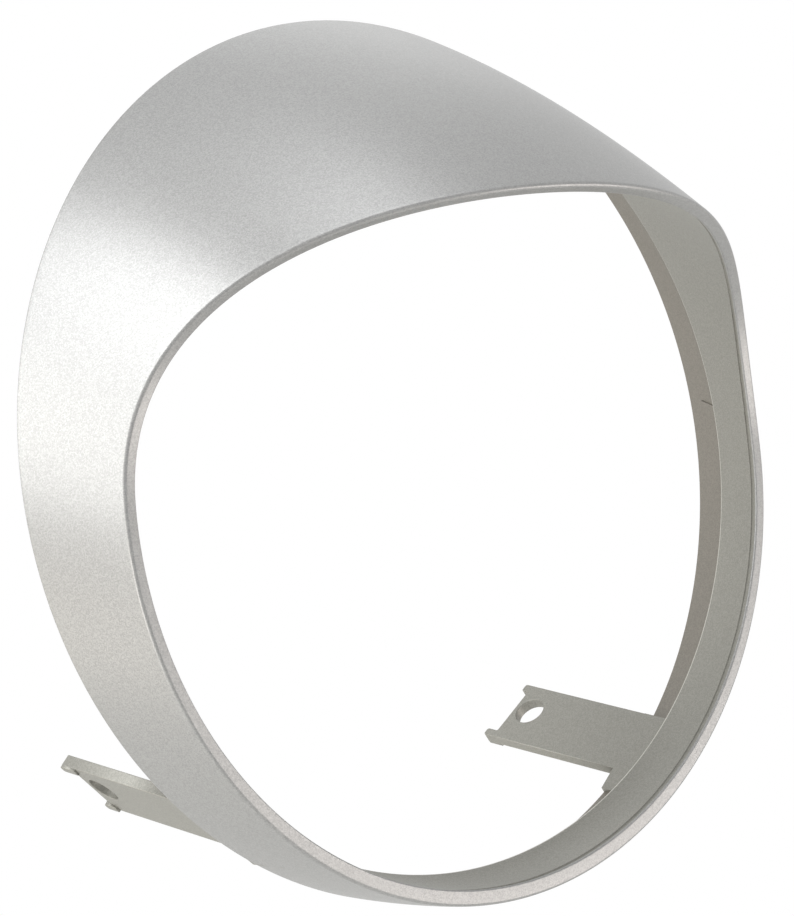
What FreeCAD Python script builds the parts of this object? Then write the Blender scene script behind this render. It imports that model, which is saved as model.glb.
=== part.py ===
"""Headlight ring: one moulded plastic ring with a long peak and two screw tabs, sizes in millimetres.

The ring stands upright. Its rear edge lies in the plane Y = 0, its axis is the Y axis and it looks to -Y.
Z is up, and the two halves mirror each other about X = 0. "Ahead" is the distance in front of the rear edge.
The wall is a tapered tube with elliptical sections that slants down to the front. The front edge is one cut
through that tube, a plain curve in side view, which leaves the peak over the upper half.
"""
import FreeCAD, Part
import math
import os

from FreeCAD import Matrix, Vector

# Outer wall at the rear edge
REAR_WIDTH = 194.0
REAR_HEIGHT = 186.5

# Change of the outer wall on its way to the front
DROOP_DEG = 18.2
SIDE_TAPER_DEG = 15.3
HEIGHT_TAPER_DEG = 10.05
CROWN_BOW_RADIUS = 147.0

# Wall thickness, with the top growing thicker for each millimetre ahead and the floor towards the rear
WALL_SIDE = 2.7
WALL_TOP = 3.0
WALL_TOP_GROWTH = 0.011
WALL_BOTTOM = 3.3
FLOOR_RISE = 2.1
FLOOR_RISE_START = 20.0
FLOOR_RISE_LENGTH = 11.0

# Front edge in side view: a nearly upright lower line, then a curve out to the tip of the peak
LOWER_REACH = 19.3
LOWER_LEAN_DEG = 2.6
KNEE_HEIGHT = -7.6
KNEE_PULL = 19.0
PEAK_REACH = 65.2
PEAK_PULL = 37.8
PEAK_RISE_DEG = 19.9
OUTER_BEVEL = 0.5
INNER_BEVEL = 0.2

# Groove round the inner side, just behind the flat land of the front edge
GROOVE_BACK = 0.5
GROOVE_WIDTH = 1.5
GROOVE_DEPTH = 0.45

# Thin rear band, set off from the inner wall by a step that is an arc in side view
BAND_WALL = 1.6
STEP_AT_TOP = 9.4
STEP_AT_MIDDLE = 9.8
STEP_AT_BOTTOM = 6.4

# Small locating pad on the band at each side, which runs back and up from the step
PAD_LENGTH = 6.1
PAD_WIDTH = 3.0
PAD_HEIGHT = 0.4
PAD_UP = 2.8
PAD_SLANT_DEG = 21.0

# Screw tabs: flat plates that seat on the inner side of the band and point back
TAB_ANGLE_DEG = 137.8
TAB_FACE_DEPTH = 4.15
TAB_THICKNESS = 2.6
TAB_ROLL_DEG = 39.9
TAB_RISE_DEG = 14.05
TAB_UPPER_EDGE = 7.0
TAB_LOWER_EDGE = 9.2
TAB_FOOT_EDGE = 15.0
TAB_FOOT_DEPTH = 16.0
TAB_HOLE_BACK = 31.9
TAB_HOLE_DIAMETER = 7.0
TAB_END = 4.6
EAR_WIDTH = 1.9
EAR_EXTRA_THICKNESS = 0.5
EAR_OVERLAP = 1.6
UPPER_EAR_REACH = 0.8
LOWER_EAR_REACH = 3.0
EAR_ROUND = 0.6

# Construction only: how far a cutting tool passes the wall, where a hollow starts behind the rear edge, and
# how near counts as touching
CLEAR = 20.0
HOLLOW_START = -1.0
TOUCH = 1e-4

# A half circle of radius one from the top by the right to the bottom, as a rational cubic
HALF_CIRCLE_POLES = [(0.0, 1.0), (2.0, 1.0), (2.0, -1.0), (0.0, -1.0)]
HALF_CIRCLE_WEIGHTS = [1.0, 1 / 3, 1 / 3, 1.0]
NODE = "headlight_ring"


def slope(degrees):
    """Rise for each millimetre of run."""
    return math.tan(math.radians(degrees))


def side_point(ahead, height):
    """A point on the mirror plane."""
    return Vector(0, -ahead, height)


def add(*quadratics):
    """Sum of quadratics of the distance ahead, each given as constant, linear and square terms."""
    return tuple(sum(terms) for terms in zip(*quadratics))


def scaled(quadratic, factor):
    """A quadratic times a plain number."""
    return tuple(factor * term for term in quadratic)


def steady(value):
    """A thickness that stays the same all the way."""
    return value, 0.0, 0.0


def value_at(quadratic, ahead):
    """Value of a quadratic at one distance ahead."""
    return blossom(quadratic, ahead, ahead)


def blossom(quadratic, first, second):
    """Control value of a quadratic between two knots; with equal knots it is the value itself."""
    constant, linear, square = quadratic
    return constant + linear * (first + second) / 2 + square * first * second


# The outer wall's ellipse, ahead of the rear edge
HALF_WIDTH = (REAR_WIDTH / 2, -slope(SIDE_TAPER_DEG), 0.0)
HALF_HEIGHT = (REAR_HEIGHT / 2, -slope(HEIGHT_TAPER_DEG), -0.5 / CROWN_BOW_RADIUS)
CENTRE_HEIGHT = (0.0, -slope(DROOP_DEG), 0.0)


def half_plug(spans):
    """Right half of a solid plug with elliptical sections, exact in both directions.

    Each span gives its start, its end and how far the ellipse lies inside the outer wall's at the side,
    the top and the bottom. A half ellipse is one rational cubic, so no seam crosses the surface.
    """
    rows = [(spans[0][0], spans[0][0], spans[0])]
    rows += [(span[0], span[1], span) for span in spans]
    rows += [(spans[-1][1], spans[-1][1], spans[-1])]
    poles = []
    for first, second, (_, _, side, top, bottom) in rows:
        width = blossom(add(HALF_WIDTH, scaled(side, -1)), first, second)
        height = blossom(add(HALF_HEIGHT, scaled(top, -0.5), scaled(bottom, -0.5)), first, second)
        centre = blossom(add(CENTRE_HEIGHT, scaled(top, -0.5), scaled(bottom, 0.5)), first, second)
        place = -(first + second) / 2
        poles.append([Vector(across * width, place, centre + up * height) for across, up in HALF_CIRCLE_POLES])
    knots = [spans[0][0]] + [span[1] for span in spans]
    surface = Part.BSplineSurface()
    surface.buildFromPolesMultsKnots(
        poles, [3] + [1] * (len(spans) - 1) + [3], [4, 4], knots, [0.0, 1.0], False, False, 2, 3,
        [HALF_CIRCLE_WEIGHTS] * len(poles))
    top_curve = surface.vIso(0.0).toShape()
    bottom_curve = surface.vIso(1.0).toShape()
    start_arc = surface.uIso(knots[0]).toShape()
    end_arc = surface.uIso(knots[-1]).toShape()
    start_line = Part.makeLine(poles[0][0], poles[0][-1])
    end_line = Part.makeLine(poles[-1][0], poles[-1][-1])
    outlines = [[start_arc, start_line], [end_arc, end_line], [top_curve, end_line, bottom_curve, start_line]]
    faces = [surface.toShape()] + [Part.Face(Part.Wire(Part.__sortEdges__(edges))) for edges in outlines]
    shell = Part.makeShell(faces)
    shell.sewShape()
    solid = Part.makeSolid(shell)
    if solid.Volume < 0:
        solid.reverse()
    return solid


def outer_plug():
    """The full outer form, from the rear edge to past the peak."""
    return half_plug([(0.0, PEAK_REACH + CLEAR, steady(0.0), steady(0.0), steady(0.0))])


def inner_plug(deeper=0.0):
    """The hollow inside the wall; deeper sinks its surface into the wall, for the groove."""
    side = steady(WALL_SIDE - deeper)
    top = (WALL_TOP - deeper, WALL_TOP_GROWTH, 0.0)
    bottom = steady(WALL_BOTTOM - deeper)
    growth = FLOOR_RISE / FLOOR_RISE_LENGTH ** 2
    rise = (growth * FLOOR_RISE_START ** 2, -2 * growth * FLOOR_RISE_START, growth)
    return half_plug([(HOLLOW_START, FLOOR_RISE_START, side, top, add(bottom, rise)),
                      (FLOOR_RISE_START, PEAK_REACH + 2 * CLEAR, side, top, bottom)])


def band_plug(raised=0.0):
    """The wider hollow inside the rear band; raised brings its surface in from the band."""
    inset = steady(BAND_WALL + raised)
    return half_plug([(HOLLOW_START, STEP_AT_MIDDLE + CLEAR, inset, inset, inset)])


def side_extrusion(edges):
    """A closed outline in the mirror plane, drawn out past both sides of the ring."""
    face = Part.Face(Part.Wire(edges))
    face.translate(Vector(-CLEAR, 0, 0))
    return face.extrude(Vector(REAR_WIDTH, 0, 0))


def space_ahead(back=0.0):
    """Everything in front of the front edge; back moves that edge to the rear, square to itself."""
    lower_end_height = value_at(CENTRE_HEIGHT, LOWER_REACH) - value_at(HALF_HEIGHT, LOWER_REACH)
    knee_ahead = LOWER_REACH + (KNEE_HEIGHT - lower_end_height) * slope(LOWER_LEAN_DEG)
    tip_height = value_at(CENTRE_HEIGHT, PEAK_REACH) + value_at(HALF_HEIGHT, PEAK_REACH)

    lean = math.radians(LOWER_LEAN_DEG)
    rise = math.radians(PEAK_RISE_DEG)
    up_line = side_point(math.sin(lean), math.cos(lean))
    out_line = side_point(math.cos(rise), math.sin(rise))
    knee = side_point(knee_ahead, KNEE_HEIGHT) + side_point(-math.cos(lean), math.sin(lean)) * back
    tip = side_point(PEAK_REACH, tip_height) + side_point(-math.sin(rise), math.cos(rise)) * back

    curve = Part.BezierCurve()
    curve.setPoles([knee, knee + up_line * KNEE_PULL, tip - out_line * PEAK_PULL, tip])
    low = knee - up_line * REAR_HEIGHT
    far = tip + out_line * (2 * CLEAR)
    corner = side_point(-far.y, low.z)
    corners = [tip, far, corner, low, knee]
    return side_extrusion([curve.toShape()] + [Part.makeLine(a, b) for a, b in zip(corners, corners[1:])])


def space_behind_step():
    """Everything behind the step, whose side view is an arc."""
    reach = REAR_HEIGHT / 2
    top = side_point(STEP_AT_TOP, reach)
    bottom = side_point(STEP_AT_BOTTOM, -reach)
    arc = Part.Arc(top, side_point(STEP_AT_MIDDLE, 0), bottom).toShape()
    corners = [bottom, side_point(-CLEAR, -reach), side_point(-CLEAR, reach), top]
    return side_extrusion([arc] + [Part.makeLine(a, b) for a, b in zip(corners, corners[1:])])


def shared_edges(body, first, second):
    """Edges of a body that run along the curved surfaces of two tools, away from the mirror plane."""
    edges = []
    for edge in body.Edges:
        middle = Part.Vertex(edge.valueAt((edge.FirstParameter + edge.LastParameter) / 2))
        on_both = all(middle.distToShape(Part.makeShell(tool.Faces))[0] < TOUCH for tool in (first, second))
        if on_both and middle.X > TOUCH:
            edges.append(edge)
    return edges


def wall():
    """The tube wall with the bevels of its front edge, its groove and its rear band."""
    outer = outer_plug()
    inner = inner_plug()
    ahead = space_ahead()
    body = outer.cut(inner).cut(ahead)
    body = body.makeChamfer(OUTER_BEVEL, shared_edges(body, outer, ahead))
    body = body.makeChamfer(INNER_BEVEL, shared_edges(body, inner, ahead))
    body = body.cut(band_plug().common(space_behind_step()))
    groove_zone = space_ahead(GROOVE_BACK + GROOVE_WIDTH).cut(space_ahead(GROOVE_BACK))
    return body.cut(groove_zone.common(inner_plug(GROOVE_DEPTH)))


def tab_frame():
    """Matrix from the tab's own axes to the ring.

    X runs up across the tab, Y to its free end and Z to the ring's axis. The origin is the screw hole's centre on
    the face that looks to that axis.
    """
    roll = math.radians(TAB_ROLL_DEG)
    rise = math.radians(TAB_RISE_DEG)
    along = Vector(0, math.cos(rise), math.sin(rise))
    across = Vector(math.cos(roll), -math.sin(rise) * math.sin(roll), math.cos(rise) * math.sin(roll))
    normal = across.cross(along)
    angle = math.radians(TAB_ANGLE_DEG)
    reach = math.hypot(2 * math.sin(angle) / REAR_WIDTH, 2 * math.cos(angle) / REAR_HEIGHT)
    radius = 1 / reach - TAB_FACE_DEPTH
    root = Vector(radius * math.sin(angle), 0, radius * math.cos(angle))
    hole = root + along * TAB_HOLE_BACK
    return Matrix(across.x, along.x, normal.x, hole.x, across.y, along.y, normal.y, hole.y,
                  across.z, along.z, normal.z, hole.z, 0, 0, 0, 1)


def plate(low, high, start, end, thickness):
    """A block in the tab's axes, from its inner face outwards."""
    return Part.makeBox(high - low, end - start, thickness, Vector(low, start, -thickness))


def ear(low, high, reach):
    """A bead at a corner of the free end, a little thicker than the tab."""
    block = plate(low, high, TAB_END - EAR_OVERLAP, TAB_END + reach, TAB_THICKNESS + EAR_EXTRA_THICKNESS)
    ends = [edge for edge in block.Edges if edge.BoundBox.YMin > TAB_END and edge.BoundBox.XLength < TOUCH]
    return block.makeFillet(EAR_ROUND, ends)


def tab(outer, rear_face):
    """The right tab: plate with a wider foot inside the band, two ears and the screw hole.

    Behind the rear edge it keeps clear of that edge's flat face, so the face can lie against the housing.
    """
    root = -TAB_HOLE_BACK - TAB_FOOT_DEPTH
    blade = plate(-TAB_LOWER_EDGE, TAB_UPPER_EDGE, root, TAB_END, TAB_THICKNESS)
    foot = plate(-TAB_FOOT_EDGE, 0, root, -TAB_HOLE_BACK + CLEAR, TAB_THICKNESS)
    upper_ear = ear(TAB_UPPER_EDGE - EAR_WIDTH, TAB_UPPER_EDGE, UPPER_EAR_REACH)
    lower_ear = ear(-TAB_LOWER_EDGE, -TAB_LOWER_EDGE + EAR_WIDTH, LOWER_EAR_REACH)
    hole = Part.makeCylinder(TAB_HOLE_DIAMETER / 2, 2 * CLEAR, Vector(0, 0, -CLEAR))
    blade = blade.fuse([upper_ear, lower_ear]).cut(hole)
    blade.transformShape(tab_frame())
    foot.transformShape(tab_frame())
    behind = Part.makeBox(2 * REAR_WIDTH, REAR_WIDTH, 2 * REAR_WIDTH, Vector(-REAR_WIDTH, 0, -REAR_WIDTH))
    behind_face = rear_face.extrude(Vector(0, REAR_WIDTH, 0))
    return blade.common(outer.fuse(behind)).cut(behind_face).fuse(foot.common(outer))


def pad():
    """The locating pad on the right side of the band."""
    size = (CLEAR, PAD_LENGTH + WALL_SIDE, PAD_WIDTH)
    block = Part.makeBox(*size, Vector(-CLEAR / 2, -WALL_SIDE, -PAD_WIDTH / 2))
    block.rotate(Vector(0, 0, 0), Vector(1, 0, 0), PAD_SLANT_DEG)
    block.translate(Vector(value_at(HALF_WIDTH, STEP_AT_MIDDLE), -STEP_AT_MIDDLE, PAD_UP))
    return block.common(band_plug()).cut(band_plug(PAD_HEIGHT))


def headlight_ring():
    """The whole moulding: the right half and its mirror image."""
    body = wall()
    rear_face = next(face for face in body.Faces if face.BoundBox.YMin > -TOUCH)
    half = body.fuse([tab(outer_plug(), rear_face), pad()]).removeSplitter()
    return half.fuse(half.mirror(Vector(0, 0, 0), Vector(1, 0, 0))).removeSplitter()


def main():
    """Write the ring to its STEP file."""
    os.makedirs("parts", exist_ok=True)
    ring = headlight_ring()
    solid = ring.Solids[0]
    solid.exportStep("parts/" + NODE + ".step")
    box = solid.optimalBoundingBox(False)
    print(NODE, "solids", len(ring.Solids), "valid", ring.isValid(), "faces", len(solid.Faces))
    print("size", round(box.XLength, 2), round(box.YLength, 2), round(box.ZLength, 2))
    print("volume", round(solid.Volume))


main()
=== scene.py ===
"""Looks of the headlight ring: its painted shell, screw tabs and locating pads, and a plain pale stage.

The shell is the solid model's own wall, worked out from the same sizes, but its edges are rounded and its
groove is shallower. Lengths are in metres. The ring looks towards -Y with its rear edge in the plane Y = 0,
"ahead" is the distance in front of that plane, and "turn" is the angle round the ring from its top,
towards +X.
"""

import math

import bpy
import numpy as np
from bpy.props import FloatProperty, FloatVectorProperty, IntProperty, PointerProperty, StringProperty
from mathutils import Matrix, Vector


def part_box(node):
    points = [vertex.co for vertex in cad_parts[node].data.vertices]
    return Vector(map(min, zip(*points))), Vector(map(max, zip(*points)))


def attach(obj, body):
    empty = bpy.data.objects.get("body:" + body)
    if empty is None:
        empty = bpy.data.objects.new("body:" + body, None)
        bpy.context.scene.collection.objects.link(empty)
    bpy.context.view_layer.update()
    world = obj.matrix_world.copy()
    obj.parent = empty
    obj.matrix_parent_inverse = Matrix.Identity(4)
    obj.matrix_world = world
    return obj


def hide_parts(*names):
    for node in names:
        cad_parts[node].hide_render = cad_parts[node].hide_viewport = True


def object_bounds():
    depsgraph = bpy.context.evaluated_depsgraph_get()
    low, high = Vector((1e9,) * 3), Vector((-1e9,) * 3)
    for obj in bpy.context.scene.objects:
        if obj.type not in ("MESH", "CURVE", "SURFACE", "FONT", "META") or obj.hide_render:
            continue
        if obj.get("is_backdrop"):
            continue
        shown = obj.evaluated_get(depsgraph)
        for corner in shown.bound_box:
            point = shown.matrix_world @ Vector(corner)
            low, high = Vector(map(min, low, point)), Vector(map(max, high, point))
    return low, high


bl_info = {
    "name": "Headlight ring",
    "version": (1, 0, 0),
    "blender": (4, 5, 0),
    "location": "3D View > Sidebar > Headlight ring",
    "description": "Builds the painted shell, tabs, pads and stage of a headlight ring",
    "category": "Object",
}

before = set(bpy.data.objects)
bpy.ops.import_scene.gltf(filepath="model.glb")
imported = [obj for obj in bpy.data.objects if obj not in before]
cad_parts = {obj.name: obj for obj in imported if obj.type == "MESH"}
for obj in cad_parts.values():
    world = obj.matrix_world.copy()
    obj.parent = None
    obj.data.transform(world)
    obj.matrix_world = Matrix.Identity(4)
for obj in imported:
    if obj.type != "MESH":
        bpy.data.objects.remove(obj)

NODE = "headlight_ring"

# Numbers of the four finishes, in the order in which they are made
# The fourth finish is a painted highlight, drawn pale along the step's rounded edge
FULL, THIN, MISTED, EDGE_HIGHLIGHT = range(4)

# How finely surfaces are divided: rows along a stretch of wall, steps round an edge, points along a curve
OUTER_ROWS = 30
INNER_ROWS = 18
BAND_ROWS = 10
RIM_STEPS = 8
MIDDLE_STEPS = 5
SMALL_STEPS = 3
RAMP_POINTS = 6
FLOOR_POINTS = 5
CURVE_POINTS = 1500
HOLE_POINTS = 48

# Room in metres that the plain rows leave to the rounded front edge and to the rounded step
RIM_ROOM = 0.0012
STEP_ROOM = 0.0005

# Distance in metres to the place that shows the wall's direction at a corner
NEARBY = 0.001

# The front edge's cut is searched up to this share of the peak's reach, by this many halvings
SEARCH_SHARE = 1.3
HALVINGS = 40


def length(name, default, description):
    """A size in metres."""
    return FloatProperty(name=name, default=default, description=description, unit="LENGTH", precision=5)


def number(name, default, description):
    """A number without a unit."""
    return FloatProperty(name=name, default=default, description=description)


def angle(name, degrees, description):
    """An angle, given in degrees and kept in radians."""
    return FloatProperty(name=name, default=math.radians(degrees), description=description, subtype="ANGLE")


def colour(name, default, description):
    """A colour as an sRGB hex value."""
    return StringProperty(name=name, default=default, description=description)


class RingSizes(bpy.types.PropertyGroup):
    """Sizes of the wall, its front edge, its groove and its rear band."""

    rear_width: length("Rear width", 0.194, "Overall width at the rear edge")
    rear_height: length("Rear height", 0.1865, "Overall height at the rear edge")
    droop: angle("Droop", 18.2, "Slant of the tube's middle line, down to the front")
    side_taper: angle("Side taper", 15.3, "How far each side leans in to the front")
    height_taper: angle("Height taper", 10.05, "How fast the height shrinks at the rear edge")
    crown_bow: length("Crown bow", 0.147, "Radius of the crown's bow in side view")
    wall_side: length("Side wall", 0.0027, "Wall thickness at the sides")
    wall_top: length("Top wall", 0.0030, "Wall thickness at the top of the rear edge")
    top_growth: number("Top growth", 0.011, "Growth of the top wall per length ahead")
    wall_bottom: length("Bottom wall", 0.0033, "Wall thickness at the bottom of the front edge")
    floor_rise: length("Floor rise", 0.0021, "Growth of the floor's thickness over the rise length")
    floor_rise_start: length("Floor rise start", 0.020, "Distance ahead at which the floor starts to thicken")
    floor_rise_length: length("Floor rise length", 0.011, "Distance over which the floor rise is reached")
    lower_reach: length("Lower reach", 0.0193, "How far ahead the lower front edge stands")
    lower_lean: angle("Lower lean", 2.6, "Forward lean of the straight lower edge")
    knee_height: length("Knee height", -0.0076, "Height at which the front edge starts to sweep out")
    knee_pull: length("Knee pull", 0.019, "How long the curve keeps the lower edge's direction")
    peak_reach: length("Peak reach", 0.0652, "How far ahead the tip of the peak stands")
    peak_pull: length("Peak pull", 0.0378, "How long the curve keeps the tip's direction")
    peak_rise: angle("Peak rise", 19.9, "Direction of the front edge at the tip, above level")
    outer_round: length("Outer round", 0.00075, "Rounding of the front edge's outer corner")
    inner_round: length("Inner round", 0.00035, "Rounding of the front edge's inner corner")
    groove_back: length("Groove back", 0.0005, "Distance of the groove behind the front edge")
    groove_width: length("Groove width", 0.0015, "Width of the groove")
    groove_depth: length("Groove depth", 0.0003, "Depth of the groove")
    groove_ramp: length("Groove ramp", 0.00018, "Width of each soft side of the groove")
    band_wall: length("Band wall", 0.0016, "Wall thickness of the rear band")
    step_top: length("Step at the top", 0.0094, "Distance ahead of the step, at the top")
    step_middle: length("Step at the middle", 0.0098, "Distance ahead of the step, at mid height")
    step_bottom: length("Step at the bottom", 0.0064, "Distance ahead of the step, at the bottom")
    step_round: length("Step round", 0.00045, "Rounding of the step's inner edge")
    rear_round: length("Rear round", 0.00025, "Rounding of the rear edges")
    columns: IntProperty(name="Columns", default=720, description="Divisions round the ring")


class TabSizes(bpy.types.PropertyGroup):
    """Sizes of the screw tabs, their ears and the locating pads."""

    place: angle("Place", 137.8, "Angle of the tab's root round the ring from the top")
    face_depth: length("Face depth", 0.00415, "Depth of the face below the outer wall, at the rear edge")
    thickness: length("Thickness", 0.0026, "Thickness of the tab")
    roll: angle("Roll", 39.9, "Tilt of the tab's width out of level")
    rise: angle("Rise", 14.05, "Climb of the tab to its free end")
    upper_edge: length("Upper edge", 0.0070, "From the hole's centre to the upper edge")
    lower_edge: length("Lower edge", 0.0092, "From the hole's centre to the lower edge")
    foot_edge: length("Foot edge", 0.0150, "From the hole's centre line to the foot's lower end")
    foot_depth: length("Foot depth", 0.0085, "How far the foot runs ahead of the rear edge")
    foot_thickness: length("Foot thickness", 0.0028, "Thickness of the foot at the rear edge")
    foot_thinning: number("Foot thinning", 0.159, "Thickness lost per length ahead")
    foot_gap: length("Foot gap", 0.000003, "How far the foot's face stays below the tab's")
    root_overlap: length("Root overlap", 0.0010, "How far the tab's root stands inside the band")
    hole_back: length("Hole back", 0.0319, "From the rear edge to the hole's centre")
    hole_diameter: length("Hole diameter", 0.0070, "Diameter of the screw hole")
    end: length("End", 0.0046, "From the hole's centre to the end between the ears")
    ear_width: length("Ear width", 0.0019, "Width of each ear")
    ear_extra: length("Ear extra thickness", 0.0005, "How much thicker the ears are than the tab")
    ear_overlap: length("Ear overlap", 0.0016, "How far an ear's thick part runs back along the tab")
    short_ear: length("Short ear", 0.0020, "Reach of the right tab's upper and the left tab's lower ear")
    long_ear: length("Long ear", 0.0030, "Reach of the right tab's lower and the left tab's upper ear")
    ear_round: length("Ear round", 0.0006, "Corner radius of the ears")
    inner_corner: length("Inner corner", 0.0003, "Corner radius between the ears and at the pads")
    edge_round: length("Edge round", 0.00018, "Rounding of all edges of tabs and pads")
    edge_gap: length("Edge gap", 0.00003, "How far buried blocks stay below the faces that cover them")
    pad_length: length("Pad length", 0.0061, "Length of the locating pad, back from the step")
    pad_width: length("Pad width", 0.0030, "Width of the locating pad")
    pad_height: length("Pad height", 0.0004, "Height of the locating pad above the band")
    pad_slant: angle("Pad slant", 21.0, "Climb of the locating pad to the rear")
    pad_root: length("Pad root", 0.0020, "How far the pad runs into the step")
    pad_up: length("Pad up", 0.0028, "Height of the locating pad above the ring's axis")


class PaintLook(bpy.types.PropertyGroup):
    """Colours and grain of the four finishes."""

    silver: colour("Silver", "#9A9A99", "Silver in the full coat")
    silver_dark: colour("Silver, darker", "#949493", "Silver in the soft patches where it lies thinner")
    thin: colour("Thin coat", "#8E8D87", "Silver over grey plastic, on the inside and the tabs")
    thin_dark: colour("Thin coat, darker", "#86857E", "Thin coat where the grey plastic shows more")
    misted: colour("Misted plastic", "#7F7B74", "Grey plastic of the rear band with a mist of silver")
    misted_dark: colour("Misted plastic, darker", "#78746C", "Grey plastic where less of the mist reached")
    # A painted highlight: the step's rounded edge is drawn pale so that it looks lit
    edge_highlight: colour("Painted edge highlight", "#BDBBB4", "Pale line along the step's edge, a painted highlight")
    patch: length("Patch", 0.07, "Size of the soft patches")
    patch_detail: number("Patch detail", 2.0, "Layers of finer pattern in the patches")
    glint: number("Glint", 0.13, "How much single flakes differ in brightness")
    flake: length("Flake", 0.00024, "Size of the metal flakes, drawn coarse enough to show")
    flake_height: length("Flake height", 0.00006, "Height that tilts the flakes")
    flake_tilt: number("Flake tilt", 0.40, "How strongly the tilt of the flakes shows")
    orange_peel: length("Orange peel", 0.0022, "Size of the ripples in the paint")
    peel_detail: number("Peel detail", 1.0, "Layers of finer pattern in the ripples")
    peel_height: length("Peel height", 0.00008, "Height of the ripples")
    peel_strength: number("Peel strength", 0.12, "How strongly the ripples show")


class StageLook(bpy.types.PropertyGroup):
    """Camera, lamps and floor."""

    eye: FloatVectorProperty(name="Eye", default=(-0.46122, -0.49819, -0.03257), description="Camera's place",
                             subtype="TRANSLATION", precision=5)
    azimuth: angle("Azimuth", -42.86, "Direction of the camera round the ring, 0 in front")
    elevation: angle("Elevation", -2.68, "Height of the camera above level")
    roll: angle("Roll", -7.31, "Turn of the picture")
    lens: number("Lens", 126.51, "Focal length in mm")
    sensor: number("Sensor", 36.0, "Longer side of the picture on the sensor, in mm")
    lamp_distance: length("Lamp distance", 1.3, "Distance of every lamp from the ring")
    lamp_side: length("Lamp side", 0.7, "Side of every square lamp")
    surround: number("Surround", 0.5, "Light from the white surround")
    floor_drop: length("Floor drop", 0.60, "How far below the ring the floor lies")
    floor_reach: length("Floor reach", 4.0, "Half the side of the square floor")
    floor_lift: number("Floor lift", 0.35, "Glow that lifts the floor to white")
    floor_colour: colour("Floor", "#F2F2F0", "Pale floor and backdrop")


def rising(ahead, slope_angle):
    """Change over a distance at a constant slope."""
    return ahead * math.tan(slope_angle)


def wall_point(sizes, ahead, turn, side=0.0, top=0.0, bottom=0.0):
    """Point of an ellipse inside the outer wall.

    The outer wall's half width falls in a straight line with the distance ahead, its half height falls as a
    quadratic and its centre sinks in a straight line. The ellipse is brought in by a thickness at the side,
    the top and the bottom. The point is (half width sin turn, -ahead, centre + half height cos turn).
    """
    half_width = sizes.rear_width / 2 - rising(ahead, sizes.side_taper) - side
    bow = ahead ** 2 / (2 * sizes.crown_bow)
    half_height = sizes.rear_height / 2 - rising(ahead, sizes.height_taper) - bow - (top + bottom) / 2
    centre = -rising(ahead, sizes.droop) + (bottom - top) / 2
    across = half_width * np.sin(turn)
    up = centre + half_height * np.cos(turn)
    return np.stack([across, -ahead + 0 * turn, up], axis=-1)


def thickness(sizes, ahead, share, deeper):
    """Wall thickness at the side, top and bottom; share scales it and deeper takes a plain amount off.

    The top thickens steadily to the front. The floor thickens to the rear, by the rise times the square of
    the distance behind the start, in rise lengths.
    """
    back = np.maximum(0.0, sizes.floor_rise_start - ahead) / sizes.floor_rise_length
    bottom = sizes.wall_bottom + sizes.floor_rise * back ** 2
    top = sizes.wall_top + sizes.top_growth * ahead
    return [share * (wall - deeper) for wall in (sizes.wall_side, top, bottom)]


def inner_point(sizes, ahead, turn, share=1.0, deeper=0.0):
    """Point of the inner wall, or of a place between the outer wall and it."""
    return wall_point(sizes, ahead, turn, *thickness(sizes, ahead, share, deeper))


def band_wall_point(sizes, ahead, turn):
    """Point of the rear band's inner face."""
    return wall_point(sizes, ahead, turn, sizes.band_wall, sizes.band_wall, sizes.band_wall)


def edge_curve(sizes, back):
    """Side view of the front edge moved to the rear, square to itself, as ahead and height.

    A straight line up to the knee, a cubic Bezier from there to the tip of the peak, and a straight line on.
    """
    lower = wall_point(sizes, sizes.lower_reach, np.array(math.pi))[2]
    tip_height = wall_point(sizes, sizes.peak_reach, np.array(0.0))[2]
    knee_ahead = sizes.lower_reach + rising(sizes.knee_height - lower, sizes.lower_lean)
    up_line = np.array([math.sin(sizes.lower_lean), math.cos(sizes.lower_lean)])
    out_line = np.array([math.cos(sizes.peak_rise), math.sin(sizes.peak_rise)])
    knee = np.array([knee_ahead, sizes.knee_height]) + back * np.array([-up_line[1], up_line[0]])
    tip = np.array([sizes.peak_reach, tip_height]) + back * np.array([-out_line[1], out_line[0]])
    poles = [knee, knee + sizes.knee_pull * up_line, tip - sizes.peak_pull * out_line, tip]
    t = np.linspace(0.0, 1.0, CURVE_POINTS)[:, None]
    weights = [(1 - t) ** 3, 3 * (1 - t) ** 2 * t, 3 * (1 - t) * t ** 2, t ** 3]
    curve = sum(weight * pole for weight, pole in zip(weights, poles))
    return np.vstack([knee - sizes.rear_height * up_line, curve, tip + sizes.rear_height * out_line])


def cut_ahead(sizes, turn, share, back=0.0, deeper=0.0):
    """Distance ahead at which the front edge cuts a line of the wall, found by halving.

    A place lies behind the edge where its height less its distance ahead is more than the edge curve's, at
    the same sum of the two.
    """
    curve = edge_curve(sizes, back)
    along = curve[:, 0] + curve[:, 1]
    across = curve[:, 1] - curve[:, 0]
    near = np.zeros_like(turn)
    far = np.full_like(turn, sizes.peak_reach * SEARCH_SHARE)
    for _ in range(HALVINGS):
        middle = (near + far) / 2
        height = inner_point(sizes, middle, turn, share, deeper)[..., 2]
        behind = height - middle > np.interp(height + middle, along, across)
        near = np.where(behind, middle, near)
        far = np.where(behind, far, middle)
    return (near + far) / 2


def step_ahead(sizes, height):
    """Distance ahead of the step at a height: a circle through its top, middle and bottom in side view."""
    reach = sizes.rear_height / 2
    ahead = np.array([sizes.step_top, sizes.step_middle, sizes.step_bottom])
    up = np.array([reach, 0.0, -reach])
    matrix = np.array([[ahead[1] - ahead[0], up[1] - up[0]], [ahead[2] - ahead[1], up[2] - up[1]]])
    squares = ahead ** 2 + up ** 2
    centre = np.linalg.solve(matrix, np.diff(squares) / 2)
    radius = math.hypot(ahead[0] - centre[0], up[0] - centre[1])
    return centre[0] + np.sqrt(radius ** 2 - (height - centre[1]) ** 2)


def unit(vectors):
    """Vectors scaled to length one."""
    return vectors / np.linalg.norm(vectors, axis=-1, keepdims=True)


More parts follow.
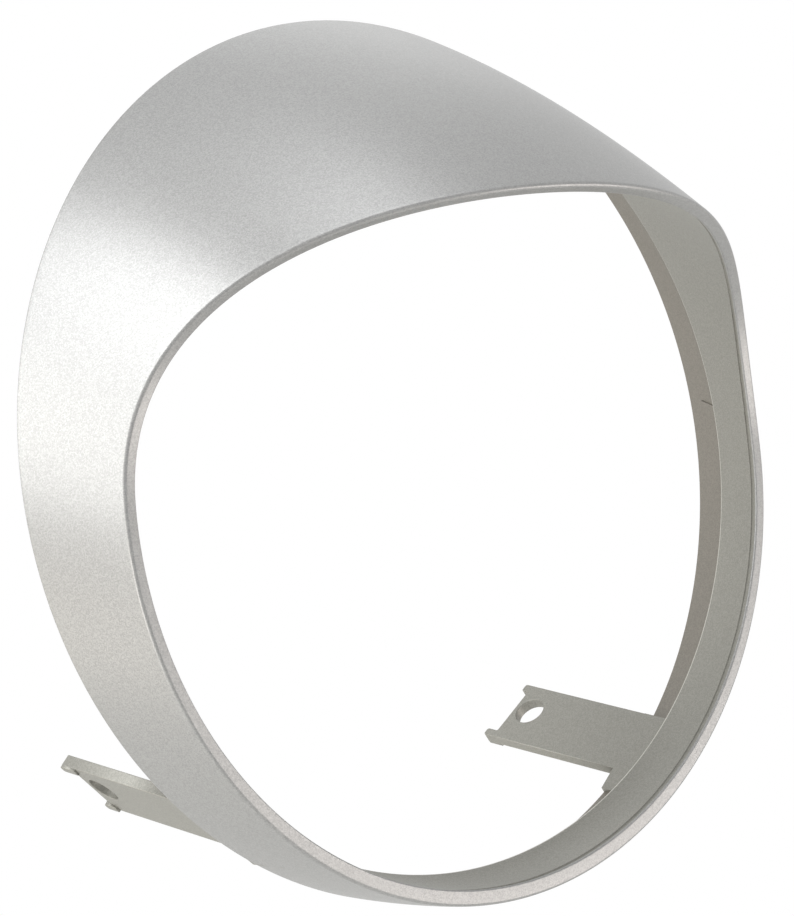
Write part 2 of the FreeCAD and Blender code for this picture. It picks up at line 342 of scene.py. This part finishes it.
def rounded(before, corner, after, radius, steps):
    """Rows of points on a circular arc that rounds a corner between two neighbours."""
    back = unit(before - corner)
    forth = unit(after - corner)
    half = np.arccos(np.clip((back * forth).sum(-1), -1, 1))[:, None] / 2
    centre = corner + unit(back + forth) * radius / np.sin(half)
    start = corner + back * radius / np.tan(half)
    end = corner + forth * radius / np.tan(half)
    first = unit(start - centre)
    second = unit(end - centre - ((end - centre) * first).sum(-1, keepdims=True) * first)
    sweep = math.pi - 2 * half
    turns = [sweep * k / steps for k in range(steps + 1)]
    return [centre + radius * (np.cos(t) * first + np.sin(t) * second) for t in turns]


def between(start, end, steps):
    """Places from start to end, without either."""
    return [start + (end - start) * k / steps for k in range(1, steps)]


def groove_rows(sizes, turn):
    """Rows across the groove: its depth rises and falls as a smooth step over the ramps."""
    ramp = np.linspace(0.0, 1.0, RAMP_POINTS)
    smooth = ramp ** 2 * (3 - 2 * ramp)
    start = sizes.groove_back
    end = start + sizes.groove_width
    floor = np.linspace(start + sizes.groove_ramp, end - sizes.groove_ramp, FLOOR_POINTS)[1:-1]
    backs = np.concatenate([start + sizes.groove_ramp * ramp, floor, end - sizes.groove_ramp * ramp[::-1]])
    depths = sizes.groove_depth * np.concatenate([smooth, np.ones_like(floor), smooth[::-1]])
    rows = []
    for back, depth in zip(backs, depths):
        ahead = cut_ahead(sizes, turn, 1.0, back, depth)
        rows.append(inner_point(sizes, ahead, turn, 1.0, depth))
    return rows, cut_ahead(sizes, turn, 1.0, end)


def shell_rows(sizes):
    """Closed loop of rows round the wall's section, each with one point for every column.

    Returns the rows and, for each, the number of the finish of the strip that follows it.
    """
    turn = np.linspace(0.0, 2 * math.pi, sizes.columns, endpoint=False)
    zero = np.zeros_like(turn)
    front_outer = cut_ahead(sizes, turn, 0.0)
    front_inner = cut_ahead(sizes, turn, 1.0)
    outer_corner = wall_point(sizes, front_outer, turn)
    inner_corner = inner_point(sizes, front_inner, turn)
    rear_outer = wall_point(sizes, zero, turn)
    rear_inner = band_wall_point(sizes, zero, turn)

    outer_back = wall_point(sizes, front_outer - 2 * NEARBY, turn)
    inner_back = inner_point(sizes, front_inner - NEARBY, turn)
    outer_near = wall_point(sizes, zero + NEARBY, turn)

    painted = rounded(rear_inner, rear_outer, outer_near, sizes.rear_round, SMALL_STEPS)
    reach = front_outer - RIM_ROOM
    places = between(zero + sizes.rear_round, reach, OUTER_ROWS)
    painted += [wall_point(sizes, place, turn) for place in [*places, reach]]
    painted += rounded(outer_back, outer_corner, inner_corner, sizes.outer_round, RIM_STEPS)
    painted += rounded(outer_corner, inner_corner, inner_back, sizes.inner_round, MIDDLE_STEPS)
    rows, groove_end = groove_rows(sizes, turn)

    # The step's height depends on how far ahead it stands, so its place is worked out twice, closer each time
    ahead = step_ahead(sizes, inner_point(sizes, zero + sizes.step_middle, turn)[:, 2])
    ahead = step_ahead(sizes, inner_point(sizes, ahead, turn)[:, 2])
    step_corner = inner_point(sizes, ahead, turn)
    foot_ahead = step_ahead(sizes, band_wall_point(sizes, ahead, turn)[:, 2])
    foot = band_wall_point(sizes, foot_ahead, turn)
    step_front = inner_point(sizes, ahead + NEARBY, turn)
    band_near = band_wall_point(sizes, foot_ahead - NEARBY, turn)
    places = between(groove_end, ahead + STEP_ROOM, INNER_ROWS)
    thin = rows + [inner_point(sizes, place, turn) for place in places]
    # The step's rounded edge takes the pale finish, a painted highlight
    edge = rounded(step_front, step_corner, foot, sizes.step_round, MIDDLE_STEPS)
    band = rounded(step_corner, foot, band_near, sizes.step_round / 2, SMALL_STEPS)
    places = between(foot_ahead - sizes.step_round, zero + 2 * sizes.rear_round, BAND_ROWS)
    band += [band_wall_point(sizes, place, turn) for place in places]
    band += rounded(band_near, rear_inner, rear_outer, sizes.rear_round, SMALL_STEPS)
    strips = [painted, thin, edge, band]
    finish = np.repeat([FULL, THIN, EDGE_HIGHLIGHT, MISTED], [len(strip) for strip in strips])
    return painted + thin + edge + band, finish


def mesh_object(name, points, faces, materials, finish_of_face):
    """Put points and faces into a new object, with a finish for each face, and let it ride on the root."""
    mesh = bpy.data.meshes.new(name)
    mesh.from_pydata(points.tolist(), [], faces)
    mesh.validate()
    for material in materials:
        mesh.materials.append(material)
    mesh.polygons.foreach_set("material_index", finish_of_face)
    mesh.polygons.foreach_set("use_smooth", [True] * len(mesh.polygons))
    piece = bpy.data.objects.new(name, mesh)
    bpy.context.scene.collection.objects.link(piece)
    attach(piece, "root")
    return piece


def area_weighted_normals(grid):
    """Normal at each point of a grid closed both ways, from the cross products of the four faces round it."""
    ahead = np.roll(grid, -1, axis=0)
    corner = np.roll(ahead, -1, axis=1)
    aside = np.roll(grid, -1, axis=1)
    face = np.cross(corner - grid, aside - ahead)
    total = face + np.roll(face, 1, axis=0)
    return unit(total + np.roll(total, 1, axis=1))


def grid_faces(rows, columns):
    """Quads of a grid that is closed both ways."""
    row = np.arange(rows)[:, None]
    column = np.arange(columns)[None, :]
    next_row = (row + 1) % rows
    next_column = (column + 1) % columns
    corners = [row * columns + column, next_row * columns + column,
               next_row * columns + next_column, row * columns + next_column]
    return np.stack(corners, axis=-1).reshape(-1, 4)


def hex_to_linear(value):
    """Linear colour of an sRGB hex value, with full alpha."""
    channels = [int(value[k:k + 2], 16) / 255 for k in (1, 3, 5)]
    linear = [c / 12.92 if c <= 0.04045 else ((c + 0.055) / 1.055) ** 2.4 for c in channels]
    return (*linear, 1.0)


def add_node(tree, kind, settings=None, links=None):
    """Add a node, set its properties or sockets, and link its inputs from other sockets."""
    node = tree.nodes.new(kind)
    for key, value in (settings or {}).items():
        if hasattr(node, key):
            setattr(node, key, value)
        else:
            node.inputs[key].default_value = value
    for key, source in (links or {}).items():
        tree.links.new(source, node.inputs[key])
    return node


def new_material(name):
    """An empty node material with its output node."""
    material = bpy.data.materials.new(name)
    material.use_nodes = True
    material.node_tree.nodes.clear()
    return material, add_node(material.node_tree, "ShaderNodeOutputMaterial")


def sprayed_film(name, look, light, dark, metallic, roughness):
    """Sprayed film with fine aluminium flakes.

    The flakes lie at slightly different angles, so single grains glint, and the film has a faint orange peel.
    It is a little thinner and darker in large soft patches. Real flakes measure a few hundredths of a
    millimetre; these are drawn several times coarser, so that they show.
    """
    material, output = new_material(name)
    tree = material.node_tree
    place = add_node(tree, "ShaderNodeTexCoord").outputs["Object"]
    patches = add_node(tree, "ShaderNodeTexNoise", {"Scale": 1 / look.patch, "Detail": look.patch_detail},
                       {"Vector": place})
    flakes = add_node(tree, "ShaderNodeTexVoronoi", {"Scale": 1 / look.flake}, {"Vector": place})
    glint = add_node(tree, "ShaderNodeSeparateColor", None, {"Color": flakes.outputs["Color"]})
    grain = add_node(tree, "ShaderNodeMapRange", {"To Min": 1 - look.glint, "To Max": 1 + look.glint},
                     {"Value": glint.outputs["Red"]})
    tone = add_node(tree, "ShaderNodeMix", {"data_type": "RGBA"}, {"Factor": patches.outputs["Fac"]})
    tone.inputs["A"].default_value = hex_to_linear(dark)
    tone.inputs["B"].default_value = hex_to_linear(light)
    base = add_node(tree, "ShaderNodeVectorMath", {"operation": "SCALE"})
    tree.links.new(tone.outputs["Result"], base.inputs[0])
    tree.links.new(grain.outputs["Result"], base.inputs["Scale"])
    ripple = add_node(tree, "ShaderNodeTexNoise", {"Scale": 1 / look.orange_peel, "Detail": look.peel_detail},
                      {"Vector": place})
    peel = add_node(tree, "ShaderNodeBump", {"Strength": look.peel_strength, "Distance": look.peel_height},
                    {"Height": ripple.outputs["Fac"]})
    tilt = add_node(tree, "ShaderNodeBump", {"Strength": look.flake_tilt, "Distance": look.flake_height},
                    {"Height": glint.outputs["Green"], "Normal": peel.outputs["Normal"]})
    shader = add_node(tree, "ShaderNodeBsdfPrincipled", {"Metallic": metallic, "Roughness": roughness},
                      {"Base Color": base.outputs["Vector"], "Normal": tilt.outputs["Normal"]})
    tree.links.new(shader.outputs["BSDF"], output.inputs["Surface"])
    return material


def silver_paint(look):
    """Silver metallic acrylic paint on moulded ABS, a full coat left satin: outside and front edge."""
    return sprayed_film("silver_metallic_paint", look, look.silver, look.silver_dark,
                        metallic=0.6, roughness=0.36)


def thin_paint(look):
    """The same paint, drifted on to the inside and the tabs: a thin, dry, duller coat over warm grey ABS."""
    return sprayed_film("thin_silver_paint", look, look.thin, look.thin_dark, metallic=0.45, roughness=0.46)


def misted_plastic(look):
    """Grey ABS as it comes from the mould, with only a mist of the paint: the rear band behind the step."""
    return sprayed_film("misted_grey_plastic", look, look.misted, look.misted_dark,
                        metallic=0.4, roughness=0.5)


def painted_edge_highlight(look):
    """A painted highlight: the same paint made pale in a fine line along the step's rounded edge."""
    return sprayed_film("painted_highlight_silver", look, look.edge_highlight, look.edge_highlight,
                        metallic=0.5, roughness=0.4)


def finishes(look):
    """The four finishes, made once: full coat, thin coat, misted plastic and a painted edge highlight."""
    full = bpy.data.materials.get("silver_metallic_paint") or silver_paint(look)
    thin = bpy.data.materials.get("thin_silver_paint") or thin_paint(look)
    misted = bpy.data.materials.get("misted_grey_plastic") or misted_plastic(look)
    edge_highlight = bpy.data.materials.get("painted_highlight_silver") or painted_edge_highlight(look)
    return [full, thin, misted, edge_highlight]


class RING_OT_shell(bpy.types.Operator):
    """Build the painted wall: its section's rows carried round the ring as one closed grid"""

    bl_idname = "ring.shell"
    bl_label = "Build the shell"

    def execute(self, context):
        sizes = context.scene.ring_sizes
        rows, finish = shell_rows(sizes)
        grid = np.stack(rows)
        faces = grid_faces(len(rows), sizes.columns)
        piece = mesh_object("ring_shell", grid.reshape(-1, 3), faces.tolist(),
                            finishes(context.scene.paint_look), np.repeat(finish, sizes.columns))
        normals = area_weighted_normals(grid).reshape(-1, 3)
        piece.data.normals_split_custom_set_from_vertices(normals.tolist())
        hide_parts(NODE)
        return {"FINISHED"}


def tab_frame(sizes, tabs, side):
    """Matrix from the tab's own axes to the ring, for the right side (1) or the left (-1).

    X runs up across the tab, Y to its free end and Z towards the ring's axis, from the hole's centre.
    """
    along = Vector((0, math.cos(tabs.rise), math.sin(tabs.rise)))
    across = Vector((math.cos(tabs.roll), -math.sin(tabs.rise) * math.sin(tabs.roll),
                     math.cos(tabs.rise) * math.sin(tabs.roll)))
    normal = across.cross(along)
    aside, up = math.sin(tabs.place), math.cos(tabs.place)
    radius = 1 / math.hypot(2 * aside / sizes.rear_width, 2 * up / sizes.rear_height) - tabs.face_depth
    hole = Vector((radius * aside, 0, radius * up)) + along * tabs.hole_back
    matrix = Matrix((across, along, normal)).transposed().to_4x4()
    matrix.translation = hole
    return Matrix.Diagonal((side, 1, 1, 1)) @ matrix


def arc(centre, radius, start, end, steps=6):
    """Points on a flat circular arc, angles in degrees."""
    turns = np.radians(np.linspace(start, end, steps + 1))
    return [(centre[0] + radius * math.cos(t), centre[1] + radius * math.sin(t)) for t in turns]


def block_outline(low, high, start, end, r):
    """A rectangle with its two corners at the far end rounded, anticlockwise."""
    far_corners = arc((high - r, end - r), r, 0, 90) + arc((low + r, end - r), r, 90, 180)
    return [(low, start), (high, start)] + far_corners


def tab_outline(tabs, below, above, ring_plane):
    """The tab's outline with its two ears, anticlockwise, from the middle of its root.

    The lower and the upper ear stand past the free end by the two lengths below and above.
    Returns it with the place in it of the point in the middle of the free end.
    """
    r, soft = tabs.ear_round, tabs.inner_corner
    low, high = -tabs.lower_edge, tabs.upper_edge
    low_in, high_in = low + tabs.ear_width, high - tabs.ear_width
    low_tip, high_tip = tabs.end + below, tabs.end + above
    upper = [(0.0, ring_plane(0.0)), (high, ring_plane(high))]
    upper += arc((high - r, high_tip - r), r, 0, 90) + arc((high_in + soft, high_tip - soft), soft, 90, 180)
    upper += arc((high_in - soft, tabs.end + soft), soft, 0, -90)
    lower = [(0.0, tabs.end)] + arc((low_in + soft, tabs.end + soft), soft, -90, -180)
    lower += arc((low_in - r, low_tip - r), r, 0, 90) + arc((low + r, low_tip - r), r, 90, 180)
    return upper + lower + [(low, ring_plane(low))], len(upper)


def inward(outline):
    """For each point of an anticlockwise outline, the step inwards that moves both its sides in by one."""
    points = np.array(outline)
    forth = unit(np.roll(points, -1, axis=0) - points)
    back = np.roll(forth, 1, axis=0)
    left, right = [np.stack([-way[:, 1], way[:, 0]], axis=-1) for way in (back, forth)]
    return (left + right) / (1 + (left * right).sum(-1, keepdims=True))


def wall_rows(outline, top, bottom, edge, steps=4):
    """Rows of points down the side of a slab with rounded edges, and their normals."""
    inwards = inward(outline)
    turns = np.linspace(0, math.pi / 2, steps + 1)
    rows = [(edge * (1 - math.sin(t)), top - edge * (1 - math.cos(t)), t) for t in turns]
    rows += [(edge * (1 - math.sin(t)), bottom + edge * (1 - math.cos(t)), math.pi - t) for t in turns[::-1]]
    points, normals = [], []
    for inset, height, tilt in rows:
        flat = np.array(outline) + inset * inwards
        points.append(np.column_stack([flat, np.full(len(flat), height)]))
        out = -unit(inwards) * math.sin(tilt)
        normals.append(np.column_stack([out, np.full(len(out), math.cos(tilt))]))
    return np.vstack(points), np.vstack(normals), len(rows)


def side_quads(start, rows, count):
    """Quads between the rows of a closed side."""
    faces = []
    for row in range(rows - 1):
        base = start + row * count
        faces += [[base + k, base + count + k, base + count + (k + 1) % count, base + (k + 1) % count]
                  for k in range(count)]
    return faces


def slab(outline, top, bottom, edge, hole=0.0, middle=0):
    """A flat slab with rounded edges and, where its radius is given, a hole round the origin.

    Each cap is one face, or two that meet on the middle line, which runs through the outline's first point,
    the hole and the outline's middle point. Returns points, normals and faces.
    """
    points, normals, rows = wall_rows(outline, top, bottom, edge)
    count = len(outline)
    faces = side_quads(0, rows, count)
    upper = [list(range(count))]
    lower = [[k + (rows - 1) * count for k in upper[0]][::-1]]
    if hole:
        ring = arc((0.0, 0.0), hole, 90, -270, HOLE_POINTS)[:-1]
        hole_points, hole_normals, _ = wall_rows(ring, top, bottom, edge)
        start, half = rows * count, len(ring) // 2
        faces += side_quads(start, rows, len(ring))
        points, normals = np.vstack([points, hole_points]), np.vstack([normals, hole_normals])
        first = list(range(middle + 1)) + [start + k for k in range(half + 1)]
        second = list(range(middle, count)) + [0] + [start + k for k in range(half, 2 * half)] + [start]
        upper = [first, second]
        drop = [(rows - 1) * count, (rows - 1) * len(ring)]
        lower = [[k + (drop[0] if k < start else drop[1]) for k in face][::-1] for face in upper]
    return points, normals, upper + lower + faces


def join(parts, matrix, flip):
    """Join slabs and turn them into place; flip turns the faces round for a mirrored place."""
    points, normals, faces = [], [], []
    turn = np.array(matrix.to_3x3())
    for part_points, part_normals, part_faces in parts:
        start = sum(len(block) for block in points)
        points.append(part_points @ turn.T + np.array(matrix.translation))
        normals.append(part_normals @ turn.T)
        faces += [[start + k for k in (face[::-1] if flip else face)] for face in part_faces]
    return np.vstack(points), np.vstack(normals), faces


def flat_piece(name, parts, matrix, flip, finish):
    """One object of one finish from joined slabs."""
    points, normals, faces = join(parts, matrix, flip)
    piece = mesh_object(name, points, faces, [finish], [0] * len(faces))
    piece.data.normals_split_custom_set_from_vertices(normals.tolist())


def ear(tabs, low, high, reach):
    """Small nose on the end of a tab, between two places across it."""
    outline = block_outline(low + tabs.edge_gap, high - tabs.edge_gap, tabs.end - tabs.ear_overlap,
                            tabs.end + reach - tabs.edge_gap, tabs.ear_round)
    return slab(outline, -tabs.thickness / 2, -tabs.thickness - tabs.ear_extra, tabs.edge_round)


class RING_OT_tabs(bpy.types.Operator):
    """Build the two screw tabs: flat plates with a foot inside the band, two ears and a hole"""

    bl_idname = "ring.tabs"
    bl_label = "Build the tabs"

    def execute(self, context):
        sizes = context.scene.ring_sizes
        tabs = context.scene.tab_sizes
        slant = math.tan(tabs.rise) * math.sin(tabs.roll)

        def ring_plane(x, ahead=0.0):
            """Place along the tab, on its inner face, of the rear edge's plane or of a plane ahead of it."""
            return -tabs.hole_back + x * slant - ahead

        low, high = -tabs.foot_edge, tabs.upper_edge
        foot = [(low, ring_plane(low, tabs.foot_depth)), (high, ring_plane(high, tabs.foot_depth)),
                (high, ring_plane(high)), (low, ring_plane(low))]
        points, *rest = slab(foot, -tabs.foot_gap, -tabs.foot_thickness, tabs.foot_gap)
        # The foot thins towards the front
        ahead = ring_plane(points[:, 0]) - points[:, 1]
        points[:, 2] *= 1 - tabs.foot_thinning * ahead / tabs.foot_thickness
        thin = finishes(context.scene.paint_look)[THIN]
        for side, name in ((1, "right_tab"), (-1, "left_tab")):
            # The long ear is the lower one on the right tab and the upper one on the left tab
            below, above = (tabs.long_ear, tabs.short_ear)[::side]
            outline, middle = tab_outline(tabs, below, above, lambda x: ring_plane(x, tabs.root_overlap))
            plate = slab(outline, 0.0, -tabs.thickness, tabs.edge_round, tabs.hole_diameter / 2, middle)
            ears = [ear(tabs, -tabs.lower_edge, -tabs.lower_edge + tabs.ear_width, below),
                    ear(tabs, tabs.upper_edge - tabs.ear_width, tabs.upper_edge, above)]
            flat_piece(name, [plate, (points, *rest), *ears], tab_frame(sizes, tabs, side), side < 0, thin)
        return {"FINISHED"}


def band_point(sizes, ahead, height):
    """Point on the right side of the rear band at a distance ahead and a height."""
    top = band_wall_point(sizes, ahead, np.array(0.0))[2]
    bottom = band_wall_point(sizes, ahead, np.array(math.pi))[2]
    turn = np.arccos((height - (top + bottom) / 2) / ((top - bottom) / 2))
    return band_wall_point(sizes, ahead, turn)


class RING_OT_pads(bpy.types.Operator):
    """Build the small locating pad on the rear band at each side"""

    bl_idname = "ring.pads"
    bl_label = "Build the locating pads"

    def execute(self, context):
        sizes = context.scene.ring_sizes
        tabs = context.scene.tab_sizes
        half = tabs.pad_width / 2
        outline = block_outline(-half, half, -tabs.pad_root, tabs.pad_length, tabs.inner_corner)
        parts = [slab(outline, tabs.pad_height, -tabs.pad_height, tabs.edge_round)]
        back, up = tabs.pad_length * math.cos(tabs.pad_slant), tabs.pad_length * math.sin(tabs.pad_slant)
        root = band_point(sizes, sizes.step_middle, tabs.pad_up)
        along = Vector(band_point(sizes, sizes.step_middle - back, tabs.pad_up + up) - root).normalized()
        upright = Vector(band_point(sizes, sizes.step_middle, tabs.pad_up + up) - root)
        normal = along.cross(upright).normalized()
        normal *= -math.copysign(1, normal.x)
        matrix = Matrix((along.cross(normal), along, normal)).transposed().to_4x4()
        matrix.translation = Vector(root)
        misted = finishes(context.scene.paint_look)[MISTED]
        for side, name in ((1, "right_pad"), (-1, "left_pad")):
            mirror = Matrix.Diagonal((side, 1, 1, 1))
            flat_piece(name, parts, mirror @ matrix, side < 0, misted)
        return {"FINISHED"}


def camera_matrix(stage):
    """Camera's place and directions from its azimuth, elevation and roll."""
    a, e = stage.azimuth, stage.elevation
    back = Vector((math.sin(a) * math.cos(e), -math.cos(a) * math.cos(e), math.sin(e)))
    level = Vector((math.cos(a), math.sin(a), 0))
    upright = back.cross(level)
    right = level * math.cos(stage.roll) + upright * math.sin(stage.roll)
    matrix = Matrix((right, back.cross(right), back)).transposed().to_4x4()
    matrix.translation = Vector(stage.eye)
    return matrix


def soft_lamp(stage, name, azimuth, elevation, power, light_hex):
    """A square area lamp of one colour, at an azimuth round the ring and a height above level in degrees."""
    a, e = math.radians(azimuth), math.radians(elevation)
    outwards = Vector((math.sin(a) * math.cos(e), -math.cos(a) * math.cos(e), math.sin(e)))
    data = bpy.data.lights.new(name, "AREA")
    data.energy = power
    data.color = hex_to_linear(light_hex)[:3]
    data.size = stage.lamp_side
    lamp = bpy.data.objects.new(name, data)
    lamp.location = outwards * stage.lamp_distance
    lamp.rotation_euler = outwards.to_track_quat("Z", "Y").to_euler()
    bpy.context.scene.collection.objects.link(lamp)


def seen_directly(tree):
    """1 for the camera and for what metal and glass show, 0 for the light that falls on things."""
    path = add_node(tree, "ShaderNodeLightPath")
    total = path.outputs["Is Camera Ray"]
    for ray in ("Is Glossy Ray", "Is Transmission Ray"):
        both = add_node(tree, "ShaderNodeMath", {"operation": "MAXIMUM"})
        tree.links.new(total, both.inputs[0])
        tree.links.new(path.outputs[ray], both.inputs[1])
        total = both.outputs["Value"]
    return total


def pale_floor(stage):
    """Matt white board, lifted to white where the camera or a reflection sees it; it keeps the shadow."""
    material, output = new_material("pale_board")
    tree = material.node_tree
    board = add_node(tree, "ShaderNodeBsdfDiffuse", {"Color": hex_to_linear(stage.floor_colour)})
    lift = add_node(tree, "ShaderNodeEmission", {"Strength": stage.floor_lift})
    both = add_node(tree, "ShaderNodeAddShader")
    tree.links.new(board.outputs["BSDF"], both.inputs[0])
    tree.links.new(lift.outputs["Emission"], both.inputs[1])
    choice = add_node(tree, "ShaderNodeMixShader", None, {"Fac": seen_directly(tree)})
    tree.links.new(board.outputs["BSDF"], choice.inputs[1])
    tree.links.new(both.outputs["Shader"], choice.inputs[2])
    tree.links.new(choice.outputs["Shader"], output.inputs["Surface"])
    return material


def white_surround(scene, strength):
    """Soft white all round; what the camera and reflections see of it is plain white."""
    world = bpy.data.worlds.new("white_surround")
    world.use_nodes = True
    tree = world.node_tree
    tree.nodes.clear()
    output = add_node(tree, "ShaderNodeOutputWorld")
    level = add_node(tree, "ShaderNodeMapRange", {"To Min": strength, "To Max": 1.0},
                     {"Value": seen_directly(tree)})
    sky = add_node(tree, "ShaderNodeBackground", {"Color": hex_to_linear("#FFFFFF")},
                   {"Strength": level.outputs["Result"]})
    tree.links.new(sky.outputs["Background"], output.inputs["Surface"])
    scene.world = world


class RING_OT_stage(bpy.types.Operator):
    """Set the camera, the lamps, the pale floor and the white surround"""

    bl_idname = "ring.stage"
    bl_label = "Set the stage"

    def execute(self, context):
        scene = context.scene
        stage = scene.stage_look
        data = bpy.data.cameras.new("camera")
        data.sensor_width = stage.sensor
        data.lens = stage.lens
        camera = bpy.data.objects.new("camera", data)
        camera.matrix_world = camera_matrix(stage)
        scene.collection.objects.link(camera)
        scene.camera = camera

        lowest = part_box(NODE)[0].z
        mesh = bpy.data.meshes.new("floor")
        reach, height = stage.floor_reach, lowest - stage.floor_drop
        mesh.from_pydata([(-reach, -reach, height), (reach, -reach, height), (reach, reach, height),
                          (-reach, reach, height)], [], [(0, 1, 2, 3)])
        mesh.materials.append(pale_floor(stage))
        floor = bpy.data.objects.new("floor", mesh)
        scene.collection.objects.link(floor)
        floor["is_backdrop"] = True

        for name, setting in LAMPS.items():
            soft_lamp(stage, name, *setting)
        white_surround(scene, stage.surround)
        scene.view_settings.view_transform = "Standard"
        return {"FINISHED"}


class RING_PT_panel(bpy.types.Panel):
    """Buttons and sizes of the headlight ring"""

    bl_label = "Headlight ring"
    bl_idname = "RING_PT_panel"
    bl_space_type = "VIEW_3D"
    bl_region_type = "UI"
    bl_category = "Headlight ring"

    def draw(self, context):
        for operator in OPERATORS:
            self.layout.operator(operator.bl_idname)
        for name, group in GROUPS.items():
            box = self.layout.box()
            box.label(text=group.__doc__)
            for key in group.__annotations__:
                box.prop(getattr(context.scene, name), key)


# Each lamp's azimuth round the ring, 0 in front and 270 on the left, its height above level, both in
# degrees, its power in watts and its colour
LAMPS = {
    "left_high": (270, 45, 8.9, "#FDFEFF"),
    "left_level": (252, 15, 6.3, "#FFFFFD"),
    "left_low": (270, -20, 6.5, "#FFFAF2"),
    "back_low": (225, -20, 2.2, "#FFF6E8"),
    "front_low": (45, -20, 5.5, "#FFF7F2"),
    "back_high": (135, 45, 0.9, "#FFFFFF"),
    "top": (0, 75, 3.9, "#FCFDFF"),
}
GROUPS = {"ring_sizes": RingSizes, "tab_sizes": TabSizes, "paint_look": PaintLook, "stage_look": StageLook}
OPERATORS = [RING_OT_shell, RING_OT_tabs, RING_OT_pads, RING_OT_stage]


def register():
    """Add the classes, and hang the settings on the scene."""
    for kind in [*GROUPS.values(), *OPERATORS, RING_PT_panel]:
        bpy.utils.register_class(kind)
    for name, group in GROUPS.items():
        setattr(bpy.types.Scene, name, PointerProperty(type=group))


def unregister():
    """Take the settings off the scene, and remove the classes."""
    for name in GROUPS:
        delattr(bpy.types.Scene, name)
    for kind in [RING_PT_panel, *reversed(OPERATORS), *reversed(list(GROUPS.values()))]:
        bpy.utils.unregister_class(kind)


def corners():
    """Lowest and highest corner of what is shown, as plain lists."""
    return [list(corner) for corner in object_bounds()]


def main():
    """Build every piece and set the stage."""
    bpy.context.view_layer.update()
    register()
    bpy.ops.ring.shell()
    bpy.ops.ring.tabs()
    bpy.ops.ring.pads()
    bpy.ops.ring.stage()


if __name__ == "__main__":
    main()
